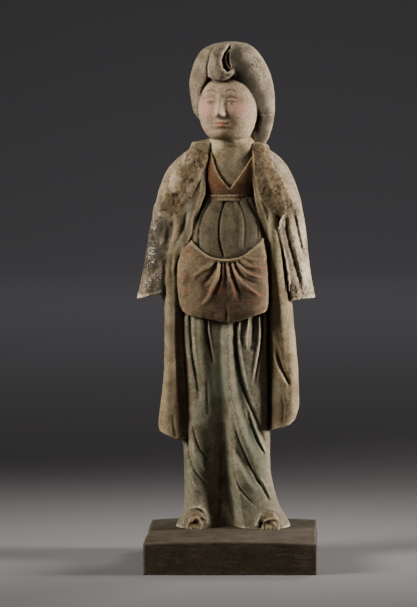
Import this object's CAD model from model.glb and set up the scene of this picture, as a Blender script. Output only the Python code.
"""Painted pottery tomb figure: a standing court lady in a long skirt, a hip wrap, a long-sleeved
robe and a short jacket, on a slab plinth. Press-moulded earthenware under slip and cold paint."""

import bpy
import numpy as np
from mathutils import Matrix, Vector


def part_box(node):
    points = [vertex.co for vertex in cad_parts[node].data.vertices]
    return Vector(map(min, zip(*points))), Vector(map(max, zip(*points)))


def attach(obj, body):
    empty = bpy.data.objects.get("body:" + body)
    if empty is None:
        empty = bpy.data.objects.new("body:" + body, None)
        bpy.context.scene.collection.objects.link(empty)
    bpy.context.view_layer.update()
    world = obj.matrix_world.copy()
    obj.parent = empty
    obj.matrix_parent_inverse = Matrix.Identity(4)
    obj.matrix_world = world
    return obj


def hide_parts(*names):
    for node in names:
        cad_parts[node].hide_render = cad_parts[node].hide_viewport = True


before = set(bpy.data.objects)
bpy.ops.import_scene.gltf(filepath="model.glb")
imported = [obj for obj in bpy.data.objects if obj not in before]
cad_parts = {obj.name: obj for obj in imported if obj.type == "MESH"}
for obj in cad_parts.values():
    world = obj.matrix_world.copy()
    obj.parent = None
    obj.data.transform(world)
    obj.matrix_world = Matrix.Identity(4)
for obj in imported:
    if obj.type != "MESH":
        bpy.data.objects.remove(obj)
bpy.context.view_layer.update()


# The plinth: a slab of dark grey-brown earthenware, cut by hand with its top a little crowned.
# Its sides keep fine tool lines and its edges are chipped. It is modelled as clay on a fine grid.

class Clay:
    """Clay on a fine grid. Forms are pressed on or carved away, and its skin becomes a mesh.

    Sizes are in millimetres. depth is the distance from the surface, below zero inside, and
    maker says which form each spot belongs to."""

    def __init__(self, lowest, highest, grain):
        self.grain = grain
        self.lowest = np.array(lowest, np.float32)
        self.axes = [np.arange(low, high + grain, grain, dtype=np.float32)
                     for low, high in zip(lowest, highest)]
        self.depth = np.full([len(axis) for axis in self.axes], 9, np.float32)
        self.maker = np.zeros(self.depth.shape, np.uint8)
        self.finishes = []

    def window(self, lowest, highest):
        spans = zip(self.axes, lowest, highest)
        cuts = tuple(slice(max(0, np.searchsorted(axis, low) - 1), np.searchsorted(axis, high) + 1)
                     for axis, low, high in spans)
        x, y, z = (axis[cut] for axis, cut in zip(self.axes, cuts))
        return cuts, x[:, None, None], y[None, :, None], z[None, None, :]

    def press(self, finish, form, lowest, highest, blend=1.0):
        if finish not in self.finishes:
            self.finishes.append(finish)
        cuts, x, y, z = self.window(lowest, highest)
        old, new = self.depth[cuts], form(x, y, z)
        share = np.clip(0.5 + 0.5 * (old - new) / blend, 0, 1)
        self.maker[cuts] = np.where(new < old, self.finishes.index(finish), self.maker[cuts])
        self.depth[cuts] = old + (new - old) * share - blend * share * (1 - share)

    def carve(self, form, lowest, highest, blend=1.0):
        cuts, x, y, z = self.window(lowest, highest)
        old, new = self.depth[cuts], -form(x, y, z)
        share = np.clip(0.5 - 0.5 * (old - new) / blend, 0, 1)
        self.depth[cuts] = old + (new - old) * share + blend * share * (1 - share)

    def skin(self):
        """Points and four-sided faces where the clay ends."""
        inside = self.depth < 0
        cells = tuple(n - 1 for n in inside.shape)
        corners = [(i, j, k) for i in (0, 1) for j in (0, 1) for k in (0, 1)]

        def corner(grid, offset):
            return grid[tuple(slice(o, o + n) for o, n in zip(offset, cells))]

        full = sum(corner(inside, offset).astype(np.uint8) for offset in corners)
        mixed = (full > 0) & (full < 8)
        where = np.argwhere(mixed)
        points, crossings = np.zeros((len(where), 3)), np.zeros(len(where))
        for a in corners:
            for axis in range(3):
                if a[axis]:
                    continue
                b = tuple(o + (n == axis) for n, o in enumerate(a))
                start, end = corner(self.depth, a)[mixed], corner(self.depth, b)[mixed]
                crossed = (start < 0) != (end < 0)
                reach = np.where(crossed, start / np.where(crossed, start - end, 1), 0)
                place = np.array(a, float) + reach[:, None] * np.eye(3)[axis]
                points += place * crossed[:, None]
                crossings += crossed
        points = self.lowest + (where + points / crossings[:, None]) * self.grain
        number = np.full(cells, -1, np.int64)
        number[mixed] = np.arange(len(where))
        faces = []
        for axis in range(3):
            u, v = (axis + 1) % 3, (axis + 2) % 3
            step = [slice(1, n) for n in cells]
            step[axis] = slice(0, cells[axis])
            ahead = list(step)
            ahead[axis] = slice(1, cells[axis] + 1)
            before, after = inside[tuple(step)], inside[tuple(ahead)]
            for leaving, swap in ((before & ~after, False), (after & ~before, True)):
                spot = np.argwhere(leaving)
                spot[:, u] += 1
                spot[:, v] += 1
                around = []
                for du, dv in ((-1, -1), (0, -1), (0, 0), (-1, 0)):
                    near = spot.copy()
                    near[:, u] += du
                    near[:, v] += dv
                    around.append(number[tuple(near.T)])
                quad = np.stack(around, 1)
                faces.append(quad[:, ::-1] if swap else quad)
        return points, np.concatenate(faces)

    def read(self, grid, points):
        """The grid's values at points, blended between the spots around each."""
        place = np.clip((points - self.lowest) / self.grain, 0, np.array(grid.shape) - 1.001)
        low = place.astype(int)
        part = place - low
        value = 0
        for offset in np.ndindex(2, 2, 2):
            weight = np.prod(np.where(offset, part, 1 - part), axis=1)
            value = value + weight * grid[tuple((low + offset).T)]
        return value

    def made_by(self, points):
        """Which finish each point belongs to."""
        spot = np.rint((points - self.lowest) / self.grain).astype(int)
        return self.maker[tuple(np.clip(spot, 0, np.array(self.maker.shape) - 1).T)]

    def crowding(self, reach):
        """How much clay there is within reach of each spot: 0.5 on a flat face, more in a hollow."""
        amount = np.clip(0.5 - self.depth / self.grain, 0, 1)
        wide = max(1, round(reach / self.grain))
        for axis in range(3):
            for _ in range(2):
                edge = [(wide + 1, wide) if n == axis else (0, 0) for n in range(3)]
                total = np.cumsum(np.pad(amount, edge, mode="edge"), axis=axis, dtype=np.float64)
                count = amount.shape[axis]
                ahead = np.take(total, range(2 * wide + 1, 2 * wide + 1 + count), axis=axis)
                behind = np.take(total, range(count), axis=axis)
                amount = ((ahead - behind) / (2 * wide + 1)).astype(np.float32)
        return amount


def mottle(points, size, seed):
    """Smooth random values from -1 to 1 that change over about size millimetres."""
    lattice = np.random.default_rng(seed).uniform(-1, 1, (16, 16, 16))
    place = points / size
    low = np.floor(place).astype(int)
    part = place - low
    part = part * part * (3 - 2 * part)
    value = 0
    for corner in np.ndindex(2, 2, 2):
        weight = np.prod(np.where(corner, part, 1 - part), axis=1)
        value = value + weight * lattice[tuple(((low + corner) % 16).T)]
    return value


CREASE_REACH, HOLLOW_REACH = 2.2, 7


def fired(name, clay, keep, wobble, to_metres):
    """The clay's skin as an object of at most keep triangles, with its hollow and worn spots noted."""
    points, faces = clay.skin()
    outward = directions(points, faces)
    mesh = bpy.data.meshes.new(name)
    uneven = sum(height * mottle(points, size, seed) for seed, (size, height) in enumerate(wobble))
    mesh.from_pydata((points + outward * uneven[:, None]).tolist(), [], faces.tolist())
    near, wide = (clay.read(clay.crowding(reach), points) for reach in (CREASE_REACH, HOLLOW_REACH))
    note(mesh, "hollow", np.clip(3 * (near - 0.5) + 2.6 * (wide - 0.53), 0, 1))
    note(mesh, "worn", np.clip(4.5 * (0.46 - near) + 0.8 * (0.46 - wide), 0, 1))
    for finish in clay.finishes:
        mesh.materials.append(finish)
    inner = points[faces].mean(1) - 0.6 * clay.grain * outward[faces].mean(1)
    mesh.polygons.foreach_set("material_index", clay.made_by(inner).astype(np.int32))
    rough = bpy.data.objects.new(name + "_rough", mesh)
    bpy.context.scene.collection.objects.link(rough)
    thin = rough.modifiers.new("thin", "DECIMATE")
    thin.ratio = min(1, keep / (2 * len(faces)))
    thin.use_collapse_triangulate = True
    thinned = bpy.data.meshes.new_from_object(rough.evaluated_get(bpy.context.evaluated_depsgraph_get()))
    bpy.data.objects.remove(rough)
    piece = bpy.data.objects.new(name, thinned)
    bpy.context.scene.collection.objects.link(piece)
    places = np.empty(3 * len(thinned.vertices), np.float32)
    thinned.vertices.foreach_get("co", places)
    places = places.reshape(-1, 3)
    thinned.vertices.foreach_set("co", to_metres(places).astype(np.float32).ravel())
    thinned.shade_smooth()
    thinned.update()
    return piece, places


def directions(points, faces):
    """Outward directions at the skin's points, from its faces."""
    a, b, c, d = (points[faces[:, n]] for n in range(4))
    normal = np.cross(c - a, d - b)
    total = np.zeros_like(points)
    for n in range(4):
        for axis in range(3):
            total[:, axis] += np.bincount(faces[:, n], normal[:, axis], len(points))
    return total / np.maximum(np.linalg.norm(total, axis=1, keepdims=True), 1e-9)


def note(mesh, name, values):
    """Keeps one value for each point of a mesh, for its materials to read."""
    mesh.attributes.new(name, "FLOAT", "POINT").data.foreach_set("value", np.asarray(values, np.float32))


def socket(group, name, kind, default=None, out=False):
    made = group.interface.new_socket(name=name, in_out="OUTPUT" if out else "INPUT", socket_type=kind)
    if default is not None:
        made.default_value = default
    return made


def wire(tree, kind, **inputs):
    """A node with its inputs set to values or joined to other nodes' sockets."""
    made = tree.nodes.new(kind)
    for name, value in inputs.items():
        if hasattr(made, name) and not isinstance(value, bpy.types.NodeSocket):
            setattr(made, name, value)
            continue
        numbered = name[0] == "i" and name[1:].isdigit()
        target = made.inputs[int(name[1:]) if numbered else name.replace("_", " ")]
        if isinstance(value, bpy.types.NodeSocket):
            tree.links.new(value, target)
        else:
            target.default_value = value
    return made


def maths(tree, operation, *values, clamp=False):
    made = tree.nodes.new("ShaderNodeMath")
    made.operation, made.use_clamp = operation, clamp
    for place, value in zip(made.inputs, values):
        if isinstance(value, bpy.types.NodeSocket):
            tree.links.new(value, place)
        else:
            place.default_value = value
    return made.outputs[0]


def blended(tree, factor, first, second, way="MIX"):
    made = tree.nodes.new("ShaderNodeMix")
    made.data_type, made.blend_type, made.clamp_factor = "RGBA", way, True
    for place, value in zip((made.inputs[0], made.inputs[6], made.inputs[7]), (factor, first, second)):
        if isinstance(value, bpy.types.NodeSocket):
            tree.links.new(value, place)
        else:
            place.default_value = value
    return made.outputs[2]


def between(tree, value, low, high):
    """0 below low, 1 above high, and smooth between."""
    made = wire(tree, "ShaderNodeMapRange", Value=value, interpolation_type="SMOOTHSTEP")
    for place, limit in ((1, low), (2, high)):
        if isinstance(limit, bpy.types.NodeSocket):
            tree.links.new(limit, made.inputs[place])
        else:
            made.inputs[place].default_value = limit
    return made.outputs[0]


def noise(tree, where, scale, detail=4.0, rough=0.6, warp=0.0):
    made = wire(tree, "ShaderNodeTexNoise", Vector=where, Scale=scale, Detail=detail, Roughness=rough,
                Distortion=warp)
    return made.outputs["Fac"]


def slip_group():
    """Old slip on clay: cloudy stains, pale worn ridges, dark soil in the hollows, fine grit."""
    group = bpy.data.node_groups.new("aged slip", "ShaderNodeTree")
    for name, colour in (("Slip", (0.3, 0.28, 0.2, 1)), ("Stain", (0.2, 0.14, 0.08, 1)),
                         ("Soil", (0.035, 0.027, 0.02, 1)), ("Rubbed", (0.5, 0.46, 0.36, 1))):
        socket(group, name, "NodeSocketColor", colour)
    for name, value in (("Stain Amount", 0.5), ("Soil Amount", 0.8), ("Rub Amount", 0.6), ("Cloud", 45.0),
                        ("Speck Amount", 0.75)):
        socket(group, name, "NodeSocketFloat", value)
    socket(group, "Color", "NodeSocketColor", out=True)
    socket(group, "Roughness", "NodeSocketFloat", out=True)
    socket(group, "Height", "NodeSocketFloat", out=True)
    given = group.nodes.new("NodeGroupInput").outputs
    where = group.nodes.new("ShaderNodeTexCoord").outputs["Object"]
    hollow = wire(group, "ShaderNodeAttribute", attribute_name="hollow").outputs["Fac"]
    worn = wire(group, "ShaderNodeAttribute", attribute_name="worn").outputs["Fac"]
    cloud = noise(group, where, given["Cloud"], 5, 0.62, 0.4)
    fleck = noise(group, where, 420, 4, 0.7)
    grit = noise(group, where, 1500, 2, 0.6)
    stained = maths(group, "MULTIPLY", between(group, cloud, 0.44, 0.66), given["Stain Amount"])
    colour = blended(group, stained, given["Slip"], given["Stain"])
    shade = maths(group, "ADD", -0.3, maths(group, "MULTIPLY", fleck, 1.9))
    shade = maths(group, "ADD", shade, maths(group, "MULTIPLY", noise(group, where, 900, 3, 0.7), 0.7))
    colour = blended(group, 1.0, colour, shade, "MULTIPLY")
    specked = maths(group, "MULTIPLY", between(group, noise(group, where, 620, 3, 0.6), 0.55, 0.66),
                    given["Speck Amount"])
    specked = maths(group, "MULTIPLY", specked, between(group, noise(group, where, 95, 3, 0.6), 0.4, 0.6))
    colour = blended(group, specked, colour, given["Soil"])
    rubbed = maths(group, "ADD", worn, maths(group, "MULTIPLY", maths(group, "SUBTRACT", fleck, 0.5), 0.9))
    rubbed = maths(group, "MULTIPLY", between(group, rubbed, 0.18, 0.6), given["Rub Amount"])
    colour = blended(group, rubbed, colour, given["Rubbed"])
    soil = maths(group, "ADD", hollow, maths(group, "MULTIPLY", maths(group, "SUBTRACT", cloud, 0.5), 0.7))
    soil = maths(group, "MULTIPLY", between(group, soil, 0.05, 0.5), given["Soil Amount"])
    colour = blended(group, soil, colour, given["Soil"])
    height = maths(group, "ADD", maths(group, "MULTIPLY", fleck, 0.7), maths(group, "MULTIPLY", grit, 0.3))
    roughness = maths(group, "ADD", 0.72, maths(group, "MULTIPLY", fleck, 0.3), clamp=True)
    result = group.nodes.new("NodeGroupOutput")
    for name, value in (("Color", colour), ("Roughness", roughness), ("Height", height)):
        group.links.new(value, result.inputs[name])
    return group


def pit_group():
    """Small pits and flaked spots, gathered in patches. Mask is 1 in a pit."""
    group = bpy.data.node_groups.new("flaked pits", "ShaderNodeTree")
    for name, value in (("Scale", 260.0), ("Amount", 0.5), ("Patch", 40.0)):
        socket(group, name, "NodeSocketFloat", value)
    socket(group, "Mask", "NodeSocketFloat", out=True)
    given = group.nodes.new("NodeGroupInput").outputs
    where = group.nodes.new("ShaderNodeTexCoord").outputs["Object"]
    bent = wire(group, "ShaderNodeTexNoise", Vector=where, Scale=300.0).outputs["Color"]
    shifted = wire(group, "ShaderNodeVectorMath", operation="MULTIPLY_ADD", i0=bent, i1=(0.003, 0.003, 0.003),
                   i2=where)
    pits = wire(group, "ShaderNodeTexVoronoi", Vector=shifted.outputs[0], Scale=given["Scale"],
                Randomness=1.0)
    patch = noise(group, where, given["Patch"], 3, 0.6)
    limit = maths(group, "ADD", 0.001, maths(group, "MULTIPLY", between(group, patch, 0.38, 0.7),
                                             given["Amount"]))
    mask = maths(group, "SUBTRACT", 1.0, between(group, pits.outputs["Distance"],
                                                 maths(group, "MULTIPLY", limit, 0.5), limit))
    result = group.nodes.new("NodeGroupOutput")
    group.links.new(mask, result.inputs["Mask"])
    return group


def line_group():
    """Fine lines left by a tool drawn sideways, broken into streaks. Lines is 1 on a line."""
    group = bpy.data.node_groups.new("tool lines", "ShaderNodeTree")
    socket(group, "Spacing", "NodeSocketFloat", 700.0)
    socket(group, "Lines", "NodeSocketFloat", out=True)
    given = group.nodes.new("NodeGroupInput").outputs
    where = group.nodes.new("ShaderNodeTexCoord").outputs["Object"]
    long = wire(group, "ShaderNodeVectorMath", operation="MULTIPLY", i0=where, i1=(0.05, 1, 1)).outputs[0]
    tall = wire(group, "ShaderNodeVectorMath", operation="MULTIPLY", i0=where, i1=(1, 1, 0.12)).outputs[0]
    across = between(group, noise(group, long, given["Spacing"], 3, 0.7), 0.5, 0.62)
    upright = between(group, noise(group, tall, given["Spacing"], 2, 0.6), 0.56, 0.68)
    lines = maths(group, "MAXIMUM", across, maths(group, "MULTIPLY", upright, 0.45))
    lines = maths(group, "MULTIPLY", lines, between(group, noise(group, where, 60, 3, 0.6), 0.36, 0.62))
    result = group.nodes.new("NodeGroupOutput")
    group.links.new(lines, result.inputs["Lines"])
    return group


SLIP, PITS, TOOL_LINES = slip_group(), pit_group(), line_group()
PIT_COLOUR = (0.06, 0.045, 0.03, 1)


def finish(name, colours, amounts, pits, grain=0.4, paints=(), lines=0):
    """An earthenware finish: slip, stain, soil and rubbed colours with their amounts, pits of a size,
    amount and patch, then paints of (attribute, colour, patch, from, to, strength) and tool lines."""
    material = bpy.data.materials.new(name)
    material.use_nodes = True
    tree = material.node_tree
    shader = tree.nodes["Principled BSDF"]
    shader.inputs["Specular IOR Level"].default_value = 0.22
    slip = tree.nodes.new("ShaderNodeGroup")
    slip.node_tree = SLIP
    for socket_name, colour in zip(("Slip", "Stain", "Soil", "Rubbed"), colours):
        slip.inputs[socket_name].default_value = (*colour, 1)
    for socket_name, amount in zip(("Stain Amount", "Soil Amount", "Rub Amount", "Cloud"), amounts):
        slip.inputs[socket_name].default_value = amount
    pitted = tree.nodes.new("ShaderNodeGroup")
    pitted.node_tree = PITS
    for socket_name, value in zip(("Scale", "Amount", "Patch"), pits):
        pitted.inputs[socket_name].default_value = value
    colour = slip.outputs["Color"]
    where = tree.nodes.new("ShaderNodeTexCoord").outputs["Object"]
    for attribute, paint, scale, low, high, strength in paints:
        left = wire(tree, "ShaderNodeAttribute", attribute_name=attribute).outputs["Fac"]
        flaking = maths(tree, "ADD", left, maths(tree, "SUBTRACT", noise(tree, where, scale, 5, 0.7), 0.5))
        mask = maths(tree, "MULTIPLY", between(tree, flaking, low, high), strength)
        colour = blended(tree, mask, colour, (*paint, 1))
    if lines:
        drawn = tree.nodes.new("ShaderNodeGroup")
        drawn.node_tree = TOOL_LINES
        colour = blended(tree, maths(tree, "MULTIPLY", drawn.outputs["Lines"], lines), colour,
                         (*colours[3], 1))
    colour = blended(tree, maths(tree, "MULTIPLY", pitted.outputs["Mask"], 0.7), colour, PIT_COLOUR)
    height = maths(tree, "SUBTRACT", slip.outputs["Height"],
                   maths(tree, "MULTIPLY", pitted.outputs["Mask"], 1.2))
    bump = wire(tree, "ShaderNodeBump", Strength=grain, Distance=0.0011, Height=height)
    tree.links.new(colour, shader.inputs["Base Color"])
    tree.links.new(slip.outputs["Roughness"], shader.inputs["Roughness"])
    tree.links.new(bump.outputs["Normal"], shader.inputs["Normal"])
    return material


plinth_low, plinth_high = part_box("plinth")
plinth_wide, plinth_deep, plinth_tall = 1000 * (plinth_high - plinth_low)
PLINTH_CROWN = 2.5
PLINTH_ROUND = 0.9
PLINTH_GRAIN = 1.1


def slab(x, y, z):
    """The slab with a crowned top, soft edges and corners that aren't quite square."""
    lean = 0.7 * np.sin(x / 31) + 0.5 * np.sin(y / 23 + 1)
    top = plinth_tall - PLINTH_CROWN * (2 * x / plinth_wide) ** 2
    side_x = np.abs(x) - plinth_wide / 2 + PLINTH_ROUND + 0.5 * np.sin(y / 19 + 2) + 0.4
    side_y = np.abs(y) - plinth_deep / 2 + PLINTH_ROUND + 0.5 * np.sin(x / 27) + 0.4
    over = np.maximum(z - top, -z) + PLINTH_ROUND + np.where(z > plinth_tall / 2, 0.3 * lean, 0)
    outside = np.sqrt(np.maximum(side_x, 0) ** 2 + np.maximum(side_y, 0) ** 2 + np.maximum(over, 0) ** 2)
    return outside + np.minimum(np.maximum(np.maximum(side_x, side_y), over), 0) - PLINTH_ROUND


slab_low = (-plinth_wide / 2 - 4, -plinth_deep / 2 - 4, -4)
slab_high = (plinth_wide / 2 + 4, plinth_deep / 2 + 4, plinth_tall + 4)
slab_clay = Clay(slab_low, slab_high, PLINTH_GRAIN)
dark_ware = finish("dark_earthenware",
                   ((0.038, 0.028, 0.016), (0.024, 0.017, 0.01), (0.012, 0.008, 0.005), (0.15, 0.12, 0.085)),
                   (0.75, 0.8, 0.32, 38.0), pits=(330.0, 0.3, 60.0), grain=0.5, lines=0.3,
                   paints=(("dust", (0.1, 0.083, 0.062), 28.0, 0.35, 1.0, 0.9),))
slab_clay.press(dark_ware, slab, slab_low, slab_high)
plinth_middle = 500 * (plinth_low + plinth_high)


def slab_place(points):
    return (points + np.array([plinth_middle.x, plinth_middle.y, 1000 * plinth_low.z])) / 1000


plinth, _ = fired("plinth_slab", slab_clay, 120000, ((30, 0.25), (8, 0.2), (3, 0.16)), slab_place)
facing = np.empty(3 * len(plinth.data.vertices), np.float32)
plinth.data.vertices.foreach_get("normal", facing)
note(plinth.data, "dust", 0.5 * np.clip(facing[2::3], 0, 1))
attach(plinth, "root")
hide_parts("plinth")


# The skirt: a tall column of slip-coated clay that spreads at the hem. Long folds swing down to
# both feet on either side of a deep hollow. The body of the figure is one moulding up to the collar.

_, figure_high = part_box("figure")
FIGURE_TALL = 504
HAIR_BACK = 41
unit = 1000 * (figure_high.z - plinth_high.z) / FIGURE_TALL
axis_y = 1000 * figure_high.y - HAIR_BACK * unit
BODY_GRAIN = 1.1
body_clay = Clay((-104, -57, -5), (92, 45, 410), BODY_GRAIN)


def figure_place(points):
    return (points * unit + np.array([0, axis_y, 1000 * plinth_high.z])) / 1000


def row_at(rows, key):
    """A smooth curve through rows of [key, value, ...], read at keys."""
    rows = np.array(rows, np.float32)
    keys, values = rows[:, 0], rows[:, 1:]
    i = np.clip(np.searchsorted(keys, key, side="right") - 1, 0, len(keys) - 2)
    before, after = np.maximum(i - 1, 0), np.minimum(i + 2, len(keys) - 1)
    span = (keys[i + 1] - keys[i])[..., None]
    t = np.clip((key - keys[i])[..., None] / span, 0, 1)
    slope_in = (values[i + 1] - values[before]) / (keys[i + 1] - keys[before])[..., None] * span
    slope_out = (values[after] - values[i]) / (keys[after] - keys[i])[..., None] * span
    read = (values[i] * (1 - t) ** 2 * (1 + 2 * t) + values[i + 1] * t * t * (3 - 2 * t)
            + slope_in * t * (1 - t) ** 2 - slope_out * t * t * (1 - t))
    return np.moveaxis(read, -1, 0)


def smooth_path(path, steps=4):
    """More points along a path, on a smooth curve through its own."""
    path = np.array(path, float)
    rows = [[n, *point] for n, point in enumerate(path)]
    if len(path) < 3:
        return path
    return np.stack(row_at(rows, np.linspace(0, len(path) - 1, steps * (len(path) - 1) + 1)), 1)


def folded(*folds):
    """How far folds lift the cloth at (x, z). A fold is a path, half its width, and its height:
    a ridge above zero and a sharp-bottomed cut below. fade is the share of its length that it
    takes to rise from its start and to die away at its end."""
    folds = [(smooth_path(path), half, height, *(fade or [(0.15, 0.35)]))
             for path, half, height, *fade in folds]

    def relief(x, z):
        lift = np.zeros(np.broadcast(x, z).shape, np.float32)
        for path, half, height, (rise, fall) in folds:
            distance = np.full(lift.shape, 1e6, np.float32)
            along = np.zeros(lift.shape, np.float32)
            for n, ((ax, az), (bx, bz)) in enumerate(zip(path[:-1], path[1:])):
                dx, dz = bx - ax, bz - az
                t = np.clip(((x - ax) * dx + (z - az) * dz) / (dx * dx + dz * dz), 0, 1)
                gap = np.hypot(x - ax - t * dx, z - az - t * dz)
                along = np.where(gap < distance, (n + t) / (len(path) - 1), along)
                distance = np.minimum(gap, distance)
            ends = np.clip(along / max(rise, 1e-3), 0, 1) * np.clip((1 - along) / max(fall, 1e-3), 0, 1)
            share = np.clip(1 - distance / half, 0, 1)
            crest = share * share * (3 - 2 * share) if half > 4 else share * (0.5 + share * (1.5 - share))
            profile = crest if height > 0 else share ** 1.7
            lift += height * np.sqrt(ends) * profile
        return lift

    return relief


def bumped(*bumps):
    """How far soft bumps of (x, z, spread x, spread z, height) lift the surface."""
    def relief(x, z):
        return sum(height * np.exp(-(((x - bx) / sx) ** 2 + ((z - bz) / sz) ** 2) / 2)
                   for bx, bz, sx, sz, height in bumps)
    return relief


def crusted(height, size, seed):
    """A crust of smooth lumps."""
    def relief(x, z):
        across, up = np.broadcast_arrays(x, z)
        spots = np.stack([across.ravel(), 0 * up.ravel(), up.ravel()], 1)
        return (height * mottle(spots, size, seed)).reshape(across.shape)
    return relief


def together(*reliefs):
    return lambda x, z: sum(relief(x, z) for relief in reliefs)


def draped(rows, squareness=2.2, front=None, back=None):
    """A draped form: rows of [height, left, right, front, back], each a rounded outline in plan."""
    def form(x, y, z):
        left, right, near, far = row_at(rows, z)
        half_x, half_y = (right - left) / 2, (far - near) / 2
        across, deep = np.abs(x - (left + right) / 2), np.abs(y - (near + far) / 2)
        swell = ((across / half_x) ** squareness + (deep / half_y) ** squareness) ** (1 / squareness)
        reach = np.hypot(across, deep)
        depth = np.where(swell < 0.05, -np.minimum(half_x, half_y), reach - reach / np.maximum(swell, 1e-3))
        facing = ((near + far) / 2 - y) / (0.35 * half_y)
        if front:
            depth = depth - front(x, z) * np.clip(facing, 0, 1)
        if back:
            depth = depth - back(x, z) * np.clip(-facing, 0, 1)
        return np.maximum(depth, np.maximum(rows[0][0] - z, z - rows[-1][0])).astype(np.float32)
    return form


def front_of(rows, x, z, squareness=2.2):
    """How far forward a draped form's front lies at (x, z)."""
    left, right, near, far = row_at(rows, np.asarray(z, float))
    across = np.minimum(0.95, np.abs((2 * x - left - right) / (right - left)))
    return (near + far) / 2 - (far - near) / 2 * (1 - across ** squareness) ** (1 / squareness)


def egg(half, centre):
    """A ball with its own half-width, half-depth and half-height."""
    def form(x, y, z):
        u, v, w = ((p - c) / h for p, c, h in zip((x, y, z), centre, half))
        size = np.sqrt(u * u + v * v + w * w)
        slope = np.sqrt((u / half[0]) ** 2 + (v / half[1]) ** 2 + (w / half[2]) ** 2)
        return (size * (size - 1) / np.maximum(slope, 1e-4)).astype(np.float32)
    return form


def outlined(outline, form, edge=1.6):
    """A form kept only inside a front-view outline of (x, z) points, with rounded edges."""
    points = np.array(outline, float)

    def kept(x, y, z):
        distance = np.full(np.broadcast(x, z).shape, 1e6)
        inside = np.zeros(distance.shape, bool)
        for (ax, az), (bx, bz) in zip(points, np.roll(points, -1, axis=0)):
            dx, dz = bx - ax, bz - az
            t = np.clip(((x - ax) * dx + (z - az) * dz) / (dx * dx + dz * dz + 1e-9), 0, 1)
            distance = np.minimum(distance, np.hypot(x - ax - t * dx, z - az - t * dz))
            crosses = ((az > z) != (bz > z)) & (x < ax + dx * (z - az) / (dz if abs(dz) > 1e-6 else 1e-6))
            inside ^= crosses
        rim = np.where(inside, -distance, distance).astype(np.float32)
        depth = form(x, y, z)
        share = np.clip(0.5 - 0.5 * (depth - rim) / edge, 0, 1)
        return depth + (rim - depth) * share + edge * share * (1 - share)

    return kept


def cord(path, radius):
    """A round cord along (x, y, z) points. radius may change from point to point."""
    path = np.array(path, float)
    radii = np.broadcast_to(radius, len(path))

    def form(x, y, z):
        depth = np.float32(1e6)
        for a, b, ra, rb in zip(path[:-1], path[1:], radii[:-1], radii[1:]):
            d = b - a
            t = np.clip(((x - a[0]) * d[0] + (y - a[1]) * d[1] + (z - a[2]) * d[2]) / max(d @ d, 1e-9), 0, 1)
            off = (x - a[0] - t * d[0], y - a[1] - t * d[1], z - a[2] - t * d[2])
            gap = np.sqrt(off[0] ** 2 + off[1] ** 2 + off[2] ** 2)
            depth = np.minimum(depth, gap - (ra + t * (rb - ra)))
        return depth.astype(np.float32)

    return form, path.min(0) - 5, path.max(0) + 5


def laid_on(rows, path, lift, squareness=2.2):
    """A front-view path laid on a draped form's front, raised by lift."""
    path = smooth_path(path)
    return np.stack([path[:, 0], front_of(rows, path[:, 0], path[:, 1], squareness) - lift, path[:, 1]], 1)


def roll_on(clay, finish, path, radius, blend, spare=0):
    """Presses a cord onto clay. spare widens the part of the grid that it may blend into."""
    form, low, high = cord(path, radius)
    clay.press(finish, form, low - spare, high + spare, blend)


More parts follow.
